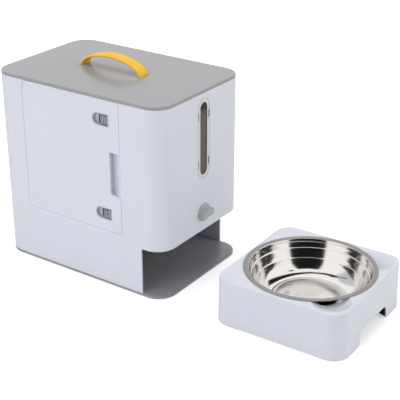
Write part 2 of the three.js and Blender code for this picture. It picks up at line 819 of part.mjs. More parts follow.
let pullShell = pullWedge(fingerPull.wall, doorOuterX)
  .intersect(slabX(pullOutline(fingerPull.wall), doorOuterX - cutOver, pullFar));
pullShell = pullShell.subtract(box(
  doorOuterX - cutOver,
  pullFar + cutOver,
  doorFrontY - cutOver - cutOver,
  doorFrontY,
  0,
  cabinet.height,
));
const pullVoid = pullWedge(0, doorOuterX - cutOver)
  .intersect(slabX(pullOutline(0), doorOuterX - cutOver - cutOver, pullFar));
doorSolid = doorSolid.add(pullShell).subtract(pullVoid);

// latch housings drop into two D-shaped holes
const latchHeights = [doorTop - latch.belowDoorTop, door.bottom + latch.aboveDoorBottom];
function latchOutline(z, grow) {
  const half = latch.halfHeight;
  const centre = latchRearY - half;
  const front = latchFrontY - grow;
  return [
    new THREE.Vector2(front, z - half - grow),
    ...arcPoints(centre, z, half + grow, -Math.PI / 2, Math.PI / 2, smallSteps),
    new THREE.Vector2(front, z + half + grow),
  ];
}
for (const z of latchHeights) {
  doorSolid = doorSolid.subtract(slabX(latchOutline(z, latch.wall + seatGap), doorOuterX - cutOver, doorInnerX + cutOver));
}
doorSolid = doorSolid.subtract(barZ(hingeX, doorHingeY, hingePin.bore, door.bottom - cutOver, door.bottom + hingePin.inDoor, pinSteps));
doorSolid = doorSolid.subtract(barZ(hingeX, doorHingeY, hingePin.bore, barrelTop - hingePin.inDoor, barrelTop + cutOver, pinSteps));
piece('side_door', doorSolid, white, 0.32);

const lowerPin = barZ(hingeX, doorHingeY, hingePin.radius, pinBottom, door.bottom + hingePin.inDoor - seatGap, pinSteps);
piece('hinge_pin_lower', lowerPin, steel, 0.35, 1);
const upperPin = barZ(hingeX, doorHingeY, hingePin.radius, barrelTop - hingePin.inDoor + seatGap, pinTop, pinSteps);
piece('hinge_pin_upper', upperPin, steel, 0.35, 1);

// latch housing, slider with tongue, for each height
const cupFloorX = doorOuterX + latch.depth;
const cupBackX = cupFloorX + latch.wall;
const thumbFrontY = latchFrontY + slideGap;
const thumbRearY = thumbFrontY + slider.length;
const stemY0 = thumbFrontY + slider.stemBehindFront;
const stemY1 = stemY0 + slider.stemLength;
const plateX0 = cupBackX + seatGap;
const plateX1 = plateX0 + slider.plate;
const tongueRearY = latchRearY + slider.tongueReach;

['upper', 'lower'].forEach((label, i) => {
  const z = latchHeights[i];
  let cup = slabX(latchOutline(z, latch.wall), doorOuterX, cupBackX);
  const flangeX0 = doorInnerX + latch.flangeBack;
  cup = cup.add(slabX(latchOutline(z, latch.wall + latch.flangeLip), flangeX0, flangeX0 + latch.wall));
  cup = cup.subtract(slabX(latchOutline(z, 0), doorOuterX - cutOver, cupFloorX));
  cup = cup.subtract(box(
    cupFloorX - cutOver,
    cupBackX + cutOver,
    stemY0 - slideGap,
    stemY1 + latch.travel + slideGap,
    z - slider.stemHalfHeight - slideGap,
    z + slider.stemHalfHeight + slideGap,
  ));
  piece(`latch_housing_${label}`, cup, midGrey, 0.45);

  const ribX0 = doorOuterX + slider.sunk;
  const thumbX0 = ribX0 + slider.ribHeight;
  const thumbX1 = cupFloorX - seatGap;
  const radius = slider.cornerRadius;
  const half = slider.halfHeight;
  const thumbOutline = [
    new THREE.Vector2(thumbFrontY, z - half),
    ...arcPoints(thumbRearY - radius, z - half + radius, radius, -Math.PI / 2, 0, 4),
    ...arcPoints(thumbRearY - radius, z + half - radius, radius, 0, Math.PI / 2, 4),
    new THREE.Vector2(thumbFrontY, z + half),
  ];
  let thumb = slabX(thumbOutline, thumbX0, thumbX1);
  const ribPitch = (slider.length - radius - slider.ribWidth) / (slider.ribs - 1);
  for (let k = 0; k < slider.ribs; k += 1) {
    const ribY = thumbFrontY + k * ribPitch;
    const ribHalf = half - radius / 2;
    thumb = thumb.add(box(ribX0, thumbX0 + seatGap, ribY, ribY + slider.ribWidth, z - ribHalf, z + ribHalf));
  }
  const stemZ = slider.stemHalfHeight;
  thumb = thumb.add(box(thumbX1 - seatGap, plateX0 + seatGap, stemY0, stemY1, z - stemZ, z + stemZ));
  const plateZ = slider.plateHalfHeight;
  thumb = thumb.add(box(plateX0, plateX1, thumbFrontY, tongueRearY, z - plateZ, z + plateZ));
  piece(`latch_slider_${label}`, thumb, midGrey, 0.5);
});

// keeper post that the latch tongues slide into
const keeperX0 = doorOuterX + keeper.outer;
const keeperX1 = keeperX0 + keeper.depth;
const keeperY0 = latchRearY + latch.wall + latch.flangeLip + keeper.frontGap;
const keeperY1 = keeperY0 + keeper.length;
const keeperTop = latchHeights[0] + slider.plateHalfHeight + keeper.pocketGap + keeper.overPocket;
const keeperArmTop = hopperTop - keeper.armBelowRim;
let keeperSolid = box(keeperX0, keeperX1, keeperY0, keeperY1, ceilingTop + seatGap, keeperTop);
keeperSolid = keeperSolid.add(box(
  keeperX1 - seatGap,
  hopperLeftX - seatGap,
  keeperY0,
  keeperY1,
  keeperArmTop - keeper.armHeight,
  keeperArmTop,
));
for (const z of latchHeights) {
  const pocketZ = slider.plateHalfHeight + keeper.pocketGap;
  keeperSolid = keeperSolid.subtract(box(
    plateX0 - keeper.pocketGap,
    plateX1 + keeper.pocketGap,
    keeperY0 - cutOver,
    keeperY0 + keeper.pocketDepth,
    z - pocketZ,
    z + pocketZ,
  ));
}
piece('latch_keeper_post', keeperSolid, midGrey, 0.5);

// lid
const lidEdge = lidSize.edgeRound;
let lidSolid = loft([
  ringAt(cabinetOutline(0), lidBottom),
  ringAt(cabinetOutline(0), cabinet.height - lidEdge),
  ringAt(cabinetOutline(lidEdge * (1 - Math.SQRT1_2)), cabinet.height - lidEdge * (1 - Math.SQRT1_2)),
  ringAt(cabinetOutline(lidEdge), cabinet.height),
]);
const skirtBottom = lidBottom - lidSize.skirtHeight;
const skirtOuter = slab(cabinetOutline(lidSize.skirtInset), skirtBottom, lidBottom + seatGap);
const skirtInner = slab(cabinetOutline(lidSize.skirtInset + lidSize.skirtWall), skirtBottom - cutOver, lidBottom);
lidSolid = lidSolid.add(skirtOuter.subtract(skirtInner));

const strapEndY = [strap.centreY - strap.halfSpan, strap.centreY + strap.halfSpan];
const toeTop = lidBottom - seatGap;
const toeBottom = toeTop - strap.toeHeight;
const clampTop = toeBottom - seatGap;
const clampBottom = clampTop - clamp.thickness;
strapEndY.forEach((endY, i) => {
  const inward = i === 0 ? 1 : -1;
  const midY = endY + (inward * strap.thickness) / 2;
  lidSolid = lidSolid.subtract(box(
    -strapSlot.halfWidth,
    strapSlot.halfWidth,
    midY - strap.thickness / 2 - strapSlot.gap,
    midY + strap.thickness / 2 + strapSlot.gap,
    lidBottom - cutOver,
    cabinet.height + cutOver,
  ));
  for (const side of [-1, 1]) {
    const bossX = side * clamp.bossX;
    lidSolid = lidSolid.add(barZ(bossX, midY, clamp.bossRadius, clampTop + seatGap, lidBottom + seatGap));
    lidSolid = lidSolid.subtract(barZ(bossX, midY, lidScrew.pilot, clampTop - cutOver, lidBottom + lidScrew.reach / 2, pinSteps));
  }
});
piece('lid', lidSolid, lidGrey, 0.42);

const gasketTop = lidBottom - gasket.drop;
const gasketOuter = slab(cabinetOutline(cabinet.wall + gasket.gap), gasketTop - gasket.height, gasketTop);
const gasketInner = slab(cabinetOutline(lidSize.skirtInset - seatGap), skirtBottom - cutOver, cabinet.height);
piece('lid_gasket', gasketOuter.subtract(gasketInner), 0xd0d0d0, 0.8);

// handle strap: an arch with tails through the lid and a toe under it
function strapRing(y, z, along) {
  const half = strap.width / 2;
  const edge = strap.edge;
  const thick = strap.thickness / 2;
  const section = [
    [half - edge, thick],
    [-half + edge, thick],
    [-half, thick - edge],
    [-half, -thick + edge],
    [-half + edge, -thick],
    [half - edge, -thick],
    [half, -thick + edge],
    [half, thick - edge],
  ];
  const normalY = -along.y;
  const normalZ = along.x;
  return section.map(([x, n]) => new THREE.Vector3(x, y + normalY * n, z + normalZ * n));
}
const archExponent = 1.9;
function archPoint(t) {
  const angle = Math.PI * (1 - t);
  const c = Math.cos(angle);
  const s = Math.sin(angle);
  const power = 2 / archExponent;
  const halfSpan = strap.halfSpan - strap.thickness / 2;
  const rise = strap.rise - strap.thickness / 2;
  return new THREE.Vector2(
    strap.centreY + Math.sign(c) * Math.abs(c) ** power * halfSpan,
    cabinet.height + Math.abs(s) ** power * rise,
  );
}
const strapRings = [];
const startPoint = archPoint(0);
const endPoint = archPoint(1);
strapRings.push(strapRing(startPoint.x, toeBottom, new THREE.Vector2(0, 1)));
for (let i = 0; i <= strapSteps; i += 1) {
  const t = i / strapSteps;
  const step = 1 / (strapSteps * 4);
  const at = archPoint(t);
  const along = archPoint(Math.min(1, t + step)).sub(archPoint(Math.max(0, t - step))).normalize();
  if (i === 0) along.set(0, 1);
  if (i === strapSteps) along.set(0, -1);
  strapRings.push(strapRing(at.x, at.y, along));
}
strapRings.push(strapRing(endPoint.x, toeBottom, new THREE.Vector2(0, -1)));
let strapSolid = loft(strapRings);
if (strapSolid.volume() < 0) strapSolid = loft(strapRings.reverse());
for (const point of [startPoint, endPoint]) {
  strapSolid = strapSolid.add(box(
    -strap.width / 2,
    strap.width / 2,
    point.x - strap.toe / 2,
    point.x + strap.toe / 2,
    toeBottom,
    toeTop,
  ));
}
piece('handle_strap', strapSolid, yellow, 0.55);

['front', 'rear'].forEach((label, i) => {
  const midY = i === 0 ? startPoint.x : endPoint.x;
  let plate = box(-clamp.halfWidth, clamp.halfWidth, midY - clamp.halfDepth, midY + clamp.halfDepth, clampBottom, clampTop);
  ['left', 'right'].forEach((side, k) => {
    const x = (k === 0 ? -1 : 1) * clamp.bossX;
    plate = plate.subtract(barZ(x, midY, lidScrew.hole, clampBottom - cutOver, clampTop + cutOver, pinSteps));
    const headTop = clampBottom - seatGap;
    let screw = barZ(x, midY, lidScrew.head, headTop - lidScrew.headHeight, headTop, smallSteps);
    screw = screw.add(barZ(x, midY, lidScrew.shank, headTop - lidScrew.headHeight, lidBottom + lidScrew.reach / 4, pinSteps));
    piece(`handle_screw_${label}_${side}`, screw, steel, 0.35, 1);
  });
  piece(`handle_clamp_${label}`, plate, midGrey, 0.5);
});

// bowl tray
const trayHalfX = tray.width / 2;
const trayHalfY = tray.depth / 2;
function trayOutline(share, inset) {
  // share 0 is the top of the walls, 1 is their foot
  return roundedOutline(
    -trayHalfX - tray.sideFlare * share + inset,
    trayHalfX + tray.sideFlare * share - inset,
    -trayHalfY - tray.frontFlare * share + inset,
    trayHalfY + tray.backFlare * share - inset,
    tray.cornerRadius + tray.cornerFlare * share - inset,
  );
}
const traySpan = tray.height - tray.bottom;
function trayShare(z) {
  return (tray.height - z) / traySpan;
}
const edgeStart = tray.height - tray.edgeRound;
const edgeMid = tray.edgeRound * (1 - Math.SQRT1_2);
const trayOuter = loft([
  ringAt(trayOutline(1, 0), tray.bottom),
  ringAt(trayOutline(trayShare(edgeStart), 0), edgeStart),
  ringAt(trayOutline(0, edgeMid), tray.height - edgeMid),
  ringAt(trayOutline(0, tray.edgeRound), tray.height),
]);
const innerTop = tray.height - tray.skin;
const trayInner = loft([
  ringAt(trayOutline(1 + cutOver / traySpan, tray.wall), tray.bottom - cutOver),
  ringAt(trayOutline(trayShare(edgeStart), tray.wall), edgeStart - tray.skin),
  ringAt(trayOutline(0, tray.edgeRound + tray.wall / 2), innerTop),
]);
const scoopSphere = (scoop.planRadius ** 2 + scoop.depth ** 2) / (2 * scoop.depth);
const scoopPlaces = [[-scoop.offset, -scoop.offset], [scoop.offset, -scoop.offset]];
function scoopBall(place, grow) {
  const ball = new THREE.SphereGeometry(scoopSphere + grow, roundSteps, roundSteps / 2);
  ball.translate(place[0], place[1], tray.height - scoop.depth + scoopSphere);
  return toSolid(ball);
}
let trayBody = trayOuter;
let trayCavity = trayInner;
for (const place of scoopPlaces) {
  trayBody = trayBody.subtract(scoopBall(place, 0));
  trayCavity = trayCavity.subtract(scoopBall(place, tray.skin));
}
let traySolid = trayBody.subtract(trayCavity);
traySolid = traySolid.subtract(barZ(0, 0, bowl.hole, tray.bottom, tray.height + cutOver, bowlSteps));

// arch in the front wall for lifting the tray
const cutTop = tray.bottom + trayCut.height;
const toe = trayCut.toeRound;
const top = trayCut.topRound;
const leftArch = [
  new THREE.Vector2(-trayCut.halfWidth - toe, -cutOver),
  ...arcPoints(-trayCut.halfWidth - toe, tray.bottom + toe, toe, -Math.PI / 2, 0, 5),
  ...arcPoints(-trayCut.halfWidth + top, cutTop - top, top, Math.PI, Math.PI / 2, 5),
];
const rightArch = leftArch.map((point) => new THREE.Vector2(-point.x, point.y)).reverse();
const archOutline = [...leftArch, ...rightArch];
const frontWallY = -trayHalfY - tray.frontFlare - cutOver;
traySolid = traySolid.subtract(slabY(archOutline.reverse(), frontWallY, -trayHalfY + tray.wall + cutOver));

// walls lifted between the corner feet
const liftTop = tray.bottom + traySkirt.lift;
const liftHalfY = trayHalfY - traySkirt.footLength;
const liftHalfX = trayHalfX - traySkirt.footLength;
const trayFar = trayHalfX + cutOver;
traySolid = traySolid.subtract(box(-trayFar, trayFar, -liftHalfY, liftHalfY, -cutOver, liftTop));
traySolid = traySolid.subtract(box(-liftHalfX, liftHalfX, 0, trayHalfY + tray.backFlare + cutOver, -cutOver, liftTop));

// blocks inside the corners bear on the rubber feet
const trayCorners = [
  [-1, -1],
  [1, -1],
  [-1, 1],
  [1, 1],
];
const blockBottom = trayFoot.height + seatGap;
for (const [sx, sy] of trayCorners) {
  const outX = sx * trayHalfX;
  const outY = sy * trayHalfY;
  const inX = outX - sx * footBlock.fromSide;
  const inY = outY - sy * footBlock.fromEnd;
  const block = box(
    Math.min(inX, outX),
    Math.max(inX, outX),
    Math.min(inY, outY),
    Math.max(inY, outY),
    blockBottom,
    blockBottom + footBlock.height,
  );
  traySolid = traySolid.add(block.intersect(trayOuter));
}

// the tray stands a little askew to the cabinet
function onTray(solid) {
  return solid.rotate([0, 0, tray.turn]).translate([0, trayCentreY, 0]);
}
piece('tray_shell', onTray(traySolid), white, 0.32);

// rubber feet fill the corners, beside the arch
const footRoom = loft([
  ringAt(trayOutline(1 + cutOver / traySpan, tray.wall + seatGap), tray.bottom - cutOver),
  ringAt(trayOutline(trayShare(edgeStart), tray.wall + seatGap), edgeStart),
]);
const footEdgeX = trayCut.halfWidth + trayFoot.besideArch;
trayCorners.forEach(([sx, sy], i) => {
  const farX = trayHalfX + cutOver;
  const farY = trayHalfY + cutOver;
  const nearY = trayHalfY - trayFoot.depth;
  const footPlan = [
    new THREE.Vector2(sx * footEdgeX, sy * farY),
    new THREE.Vector2(sx * footEdgeX, sy * (trayHalfY - tray.wall)),
    new THREE.Vector2(sx * (footEdgeX + trayFoot.lean), sy * nearY),
    new THREE.Vector2(sx * farX, sy * nearY),
    new THREE.Vector2(sx * farX, sy * farY),
  ];
  const foot = slab(footPlan, 0, trayFoot.height).intersect(footRoom);
  piece(`tray_foot_${footNames[i]}`, onTray(foot), black, 0.9);
});

// steel bowl
const rimBottom = tray.height + seatGap;
const rimTop = rimBottom + bowl.sheet;
const bowlDepth = rimTop - bowl.bottom;
const inner = [];
inner.push([bowl.flangeInner, rimTop]);
for (const [radiusShare, depthShare] of bowlWallShares) {
  inner.push([bowl.flangeInner * radiusShare, bowl.bottom + bowlDepth * depthShare]);
}
inner.push([bowl.floorRadius, bowl.bottom]);
const outerWall = inner.slice(1).map(([radius, height], i, list) => {
  const before = i > 0 ? list[i - 1] : inner[0];
  const after = i + 1 < list.length ? list[i + 1] : [0, height];
  const dr = after[0] - before[0];
  const dz = after[1] - before[1];
  const size = Math.hypot(dr, dz);
  return [radius - (dz / size) * bowl.sheet, height + (dr / size) * bowl.sheet];
});
const profile = [
  [0, bowl.bottom],
  ...inner.slice().reverse(),
  [bowl.rim - bowl.roll, rimTop],
  [bowl.rim - bowl.roll * (1 - Math.SQRT1_2), rimTop + bowl.roll * Math.SQRT1_2 - bowl.roll / 2],
  [bowl.rim, rimTop - bowl.roll / 2],
  [bowl.rim - bowl.roll / 4, rimBottom],
  [bowl.flangeInner + bowl.sheet, rimBottom],
  ...outerWall,
  [0, bowl.bottom - bowl.sheet],
];
let bowlSolid = turned(profile, bowlSteps);
if (bowlSolid.volume() < 0) bowlSolid = turned(profile.slice().reverse(), bowlSteps);
piece('bowl', onTray(bowlSolid), steel, 0.12, 1);

// one group, origin on the floor at the middle of its length
const station = new THREE.Group();
for (const mesh of nodes) station.add(mesh);
const reach = new THREE.Box3().setFromObject(station);
station.position.set(0, -(reach.min.y + reach.max.y) / 2, 0);

const root = new THREE.Group();
root.add(station);

export default root;
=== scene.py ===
"""Looks for the pet feeding station: materials, finished pieces, camera, studio and floor.

Lengths are in metres, except for the bowl's profile, which is in mm. Z is up, the cabinet's front
faces -Y, and its door is on the -X side.
"""

import json
import math

import bmesh
import bpy
from mathutils import Matrix, Vector


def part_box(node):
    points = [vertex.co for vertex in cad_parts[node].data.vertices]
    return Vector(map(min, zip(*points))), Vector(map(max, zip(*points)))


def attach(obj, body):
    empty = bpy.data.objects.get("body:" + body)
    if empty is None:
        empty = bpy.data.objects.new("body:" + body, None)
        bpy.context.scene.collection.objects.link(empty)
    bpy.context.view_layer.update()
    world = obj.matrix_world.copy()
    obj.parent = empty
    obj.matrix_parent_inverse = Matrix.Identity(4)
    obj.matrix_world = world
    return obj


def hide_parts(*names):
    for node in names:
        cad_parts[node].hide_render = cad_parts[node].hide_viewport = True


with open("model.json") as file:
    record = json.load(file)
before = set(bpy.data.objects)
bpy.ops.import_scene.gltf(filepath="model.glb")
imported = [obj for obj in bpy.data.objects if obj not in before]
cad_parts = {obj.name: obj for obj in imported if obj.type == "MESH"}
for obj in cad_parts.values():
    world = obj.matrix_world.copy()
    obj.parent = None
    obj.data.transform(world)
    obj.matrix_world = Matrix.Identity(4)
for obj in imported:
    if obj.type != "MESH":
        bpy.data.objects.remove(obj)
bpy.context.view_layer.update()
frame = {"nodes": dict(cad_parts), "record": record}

MM = 0.001
plate_low, plate_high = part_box("base_plate")
CABINET_Y = (plate_low.y + plate_high.y) / 2  # how far behind the origin the cabinet's middle lies
record = frame["record"]
node_body = {node: body for body, nodes in record["behaviour"]["bodies"].items() for node in nodes}
node_slot = {part["node"]: part["material_slot"] for part in record["subparts"]}


# materials
def linear(r, g, b):
    """The colour of an 8-bit sRGB triple, as a shader socket takes it."""

    def one(c):
        c /= 255.0
        return c / 12.92 if c <= 0.04045 else ((c + 0.055) / 1.055) ** 2.4

    return (one(r), one(g), one(b), 1.0)


def shade(colour, amount):
    """A colour made darker or lighter by a factor."""
    return tuple([min(1.0, c * amount) for c in colour[:3]] + [1.0])


class Shader:
    """A Principled material, with short calls for the nodes that feed it."""

    NOISE_LOW, NOISE_HIGH = 0.3, 0.7  # most of a noise lies between these

    def __init__(self, name):
        self.mat = bpy.data.materials.new(name)
        self.mat.use_nodes = True
        self.tree = self.mat.node_tree
        self.tree.nodes.clear()
        out = self.add("ShaderNodeOutputMaterial")
        self.bsdf = self.add("ShaderNodeBsdfPrincipled")
        self.link(self.bsdf.outputs["BSDF"], out.inputs["Surface"])
        self.coord = self.add("ShaderNodeTexCoord")

    def add(self, kind, **values):
        node = self.tree.nodes.new(kind)
        for key, value in values.items():
            setattr(node, key, value)
        return node

    def link(self, a, b):
        self.tree.links.new(a, b)

    def feed(self, socket, value):
        """Links an output to a socket of the Principled shader."""
        self.link(value, self.bsdf.inputs[socket])

    def set(self, socket, value):
        """Sets a constant on a socket of the Principled shader."""
        self.bsdf.inputs[socket].default_value = value

    def noise(self, scale, detail, rough=0.5, vector=None):
        tex = self.add("ShaderNodeTexNoise")
        tex.inputs["Scale"].default_value = scale
        tex.inputs["Detail"].default_value = detail
        tex.inputs["Roughness"].default_value = rough
        self.link(vector or self.coord.outputs["Object"], tex.inputs["Vector"])
        return tex.outputs["Fac"]

    def spread(self, value, low, high):
        """A noise stretched to run from low to high."""
        node = self.add("ShaderNodeMapRange")
        node.inputs["From Min"].default_value = self.NOISE_LOW
        node.inputs["From Max"].default_value = self.NOISE_HIGH
        node.inputs["To Min"].default_value = low
        node.inputs["To Max"].default_value = high
        self.link(value, node.inputs["Value"])
        return node.outputs["Result"]

    def step(self, value, low, high):
        """0 at low and 1 at high, and held beyond them."""
        node = self.add("ShaderNodeMapRange")
        node.inputs["From Min"].default_value = low
        node.inputs["From Max"].default_value = high
        self.link(value, node.inputs["Value"])
        return node.outputs["Result"]

    def blend(self, value, a, b):
        """From a to b by value, where a is a colour or an output, and b is a colour."""
        mix = self.add("ShaderNodeMix", data_type="RGBA")
        if isinstance(a, bpy.types.NodeSocket):
            self.link(a, mix.inputs["A"])
        else:
            mix.inputs["A"].default_value = a
        mix.inputs["B"].default_value = b
        self.link(value, mix.inputs["Factor"])
        return mix.outputs["Result"]

    def mottle(self, colour, drift, dark, light):
        """A colour that drifts with a noise between a darker and a lighter shade of itself."""
        return self.blend(self.spread(drift, 0, 1), shade(colour, dark), shade(colour, light))

    def add_share(self, share, amount, value):
        """value, with amount added to it where share is 1."""
        node = self.add("ShaderNodeMath", operation="MULTIPLY_ADD")
        self.link(share, node.inputs[0])
        node.inputs[1].default_value = amount
        self.link(value, node.inputs[2])
        return node.outputs["Value"]

    def bump(self, height, strength, distance):
        node = self.add("ShaderNodeBump")
        node.inputs["Strength"].default_value = strength
        node.inputs["Distance"].default_value = distance
        self.link(height, node.inputs["Height"])
        self.feed("Normal", node.outputs["Normal"])


def plastic(name, rgb, rough, grain_depth=20e-6, mottling=0.02, painted_shade=None):
    """Moulded plastic with a fine grain, faint scuffs and a slow drift of its colour.

    The last argument paints shade in hollows: the X where the painted shade starts, the X where it is
    darkest, and the colour there.
    """
    s = Shader(name)
    drift = s.noise(scale=9, detail=2)
    colour = s.mottle(linear(*rgb), drift, dark=1 - mottling, light=1 + mottling)
    # painted shade: the colour darkens towards the given colour as the surface lies deeper in X
    if painted_shade:
        start, end, deepest_shade = painted_shade
        parts = s.add("ShaderNodeSeparateXYZ")
        s.link(s.coord.outputs["Object"], parts.inputs["Vector"])
        colour = s.blend(s.step(parts.outputs["X"], start, end), colour, linear(*deepest_shade))
    s.feed("Base Color", colour)
    scuffs = s.noise(scale=55, detail=5, rough=0.65)
    s.feed("Roughness", s.spread(scuffs, rough - 0.04, rough + 0.05))
    s.bump(s.noise(scale=1400, detail=2), strength=0.35, distance=grain_depth)
    return s.mat


def rubber(name, rgb, rough):
    """Rubber with a matt grain."""
    s = Shader(name)
    drift = s.noise(scale=60, detail=4)
    s.feed("Base Color", s.mottle(linear(*rgb), drift, dark=0.95, light=1.04))
    grain = s.noise(scale=2600, detail=2)
    s.feed("Roughness", s.spread(grain, rough - 0.06, rough + 0.06))
    s.set("Specular IOR Level", 0.35)
    s.bump(grain, strength=0.4, distance=30e-6)
    return s.mat


def plated_steel(name):
    """The screws' plating, a little blotchy."""
    s = Shader(name)
    drift = s.noise(scale=240, detail=4)
    s.feed("Base Color", s.mottle(linear(196, 196, 198), drift, dark=0.9, light=1.05))
    s.feed("Roughness", s.spread(s.noise(scale=900, detail=3), 0.23, 0.4))
    s.set("Metallic", 1.0)
    return s.mat


def spun_steel(name, centre):
    """Polished steel with the fine rings left by spinning about an upright axis.

    The flange is satin, and its darker colour is painted shade standing in for its dimmer reflections;
    the floor is a little less polished than the wall.
    """
    polish_ends, satin_starts = 0.1066, 0.1078  # radii on the flange
    floor_ends, floor_starts = 0.068, 0.063  # radii in the bowl
    flange_rougher, floor_rougher = 0.2, 0.12
    s = Shader(name)
    move = s.add("ShaderNodeVectorMath", operation="SUBTRACT")
    move.inputs[1].default_value = centre
    s.link(s.coord.outputs["Object"], move.inputs[0])
    parts = s.add("ShaderNodeSeparateXYZ")
    s.link(move.outputs["Vector"], parts.inputs["Vector"])
    flat = s.add("ShaderNodeCombineXYZ")
    s.link(parts.outputs["X"], flat.inputs["X"])
    s.link(parts.outputs["Y"], flat.inputs["Y"])
    length = s.add("ShaderNodeVectorMath", operation="LENGTH")
    s.link(flat.outputs["Vector"], length.inputs[0])
    radius = length.outputs["Value"]
    ring = s.add("ShaderNodeCombineXYZ")
    s.link(radius, ring.inputs["X"])
    s.link(parts.outputs["Z"], ring.inputs["Y"])
    lines = s.noise(scale=2600, detail=4, vector=ring.outputs["Vector"])

    polished = s.mottle(linear(240, 237, 234), lines, dark=0.94, light=1.03)
    # painted shade: the flange's colour is darker than the polished steel's
    flange_painted_shade = linear(154, 153, 152)
    on_flange = s.step(radius, polish_ends, satin_starts)
    on_floor = s.step(radius, floor_ends, floor_starts)
    s.feed("Base Color", s.blend(on_flange, polished, flange_painted_shade))
    rough = s.add_share(on_floor, floor_rougher, s.spread(lines, 0.08, 0.14))
    s.feed("Roughness", s.add_share(on_flange, flange_rougher, rough))
    s.set("Metallic", 1.0)
    s.set("Anisotropic", 0.6)
    tangent = s.add("ShaderNodeTangent", direction_type="RADIAL", axis="Z")
    s.feed("Tangent", tangent.outputs["Tangent"])
    s.bump(lines, strength=0.1, distance=8e-6)
    return s.mat


def smoked_lens(name):
    """Clear plastic with a faint brown tint."""
    s = Shader(name)
    drift = s.noise(scale=30, detail=3)
    s.feed("Base Color", s.mottle(linear(203, 198, 194), drift, dark=0.92, light=1.05))
    s.feed("Roughness", s.spread(s.noise(scale=120, detail=3), 0.06, 0.12))
    s.set("Transmission Weight", 0.97)
    s.set("IOR", 1.25)
    return s.mat


bowl_low, bowl_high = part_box("bowl")
bowl_centre = (0.0, (bowl_low.y + bowl_high.y) / 2, 0.0)

# colour, roughness, depth of the grain, share by which the colour drifts
WHITE = ((226, 228, 237), 0.34, 6e-6, 0.008)
PLASTICS = {
    "white_plastic": WHITE,
    "lid_plastic": ((160, 160, 162), 0.2, 8e-6, 0.01),
    "base_plastic": ((156, 157, 160), 0.34, 10e-6, 0.015),
    "liner_plastic": ((186, 186, 192), 0.42, 10e-6, 0.015),
    "grey_plastic": ((180, 181, 182), 0.4, 10e-6, 0.015),
    "paddle_plastic": ((112, 114, 118), 0.65),
    "bezel_plastic": ((222, 222, 226), 0.3, 6e-6, 0.01),
    "hopper_plastic": ((150, 142, 137), 0.5),
    "bush_plastic": ((36, 36, 38), 0.5),
}
slot_material = {slot: plastic(slot, *finish) for slot, finish in PLASTICS.items()}
slot_material["lens_plastic"] = smoked_lens("lens_plastic")
slot_material["strap_rubber"] = rubber("strap_rubber", (255, 199, 64), rough=0.5)
slot_material["gasket_rubber"] = rubber("gasket_rubber", (206, 206, 206), rough=0.7)
slot_material["foot_rubber"] = rubber("foot_rubber", (36, 36, 38), rough=0.75)
slot_material["screw_steel"] = plated_steel("screw_steel")
slot_material["bowl_steel"] = spun_steel("bowl_steel", bowl_centre)


def dress(obj, slot):
    obj.data.materials.clear()
    obj.data.materials.append(slot_material[slot])


for node, obj in frame["nodes"].items():
    dress(obj, node_slot[node])


# making pieces
def enter(obj, node, slot):
    """Gives a new piece its material and lets it move with the body of a CAD node."""
    bpy.context.scene.collection.objects.link(obj)
    dress(obj, slot)
    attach(obj, node_body[node])


def place(obj, node):
    """Puts a finished piece in the place of a CAD node."""
    enter(obj, node, node_slot[node])
    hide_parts(node)
    return obj


def smooth_faces(mesh):
    for polygon in mesh.polygons:
        polygon.use_smooth = True


def face_outwards(mesh):
    bm = bmesh.new()
    bm.from_mesh(mesh)
    bmesh.ops.recalc_face_normals(bm, faces=bm.faces)
    bm.to_mesh(mesh)
    bm.free()


def soften(obj, width):
    """Rounds the edges of a moulded piece and keeps its flats flat."""
    smooth_faces(obj.data)
    bevel = obj.modifiers.new("edge", "BEVEL")
    bevel.width = width
    bevel.segments = 2
    bevel.limit_method = "ANGLE"
    bevel.angle_limit = math.radians(32)
    normals = obj.modifiers.new("normals", "WEIGHTED_NORMAL")
    normals.keep_sharp = True
    normals.weight = 90


def from_node(node, width):
    """A finished copy of a node: same shape, merged faces, rounded edges."""
    one_point, one_plane = 2e-6, math.radians(0.4)
    mesh = frame["nodes"][node].data.copy()
    bm = bmesh.new()
    bm.from_mesh(mesh)
    bmesh.ops.remove_doubles(bm, verts=bm.verts, dist=one_point)
    bmesh.ops.dissolve_limit(bm, angle_limit=one_plane, verts=bm.verts, edges=bm.edges)
    bm.to_mesh(mesh)
    bm.free()
    obj = bpy.data.objects.new(node + "_form", mesh)
    soften(obj, width)
    return place(obj, node)


EDGE_WIDTHS = {
    "body_shell": 0.0005,
    "side_door": 0.0005,
    "base_plate": 0.0004,
    "lid": 0.0003,
    "tray_shell": 0.0008,
    "bay_liner": 0.0002,
    "window_bezel": 0.0003,
    "dispenser_knob": 0.0008,
    "latch_housing_upper": 0.0002,
    "latch_housing_lower": 0.0002,
    "latch_slider_upper": 0.0003,
    "latch_slider_lower": 0.0003,
    "handle_strap": 0.0004,
    "food_hopper": 0.0004,
    "dispenser_drum": 0.0003,
}
forms = {node: from_node(node, width) for node, width in EDGE_WIDTHS.items()}


def refinish(node, material):
    forms[node].data.materials[0] = material


# the finger pull is painted darker where it is deep, as painted shade, and so are the grooves between
# the thumb slides' ribs
PULL_SHALLOW, PULL_DEEP = 0.0012, 0.0075
GROOVE_SHALLOW, GROOVE_DEEP = 0.0002, 0.0009
door_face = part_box("side_door")[0].x
# painted shade deep in the finger pull
pull_painted_shade = (door_face + PULL_SHALLOW, door_face + PULL_DEEP, (203, 205, 215))
refinish("side_door", plastic("door_plastic", *WHITE, painted_shade=pull_painted_shade))
for level in ("upper", "lower"):
    rib_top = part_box("latch_slider_" + level)[0].x
    # painted shade in the grooves between the slide's ribs
    groove_painted_shade = (rib_top + GROOVE_SHALLOW, rib_top + GROOVE_DEEP, (112, 113, 116))
    grip = plastic("grip_plastic_" + level, (186, 187, 190), 0.4, painted_shade=groove_painted_shade)
    refinish("latch_slider_" + level, grip)
    plate = plastic("plate_plastic_" + level, (196, 197, 203), 0.4, 10e-6, 0.015)
    refinish("latch_housing_" + level, plate)


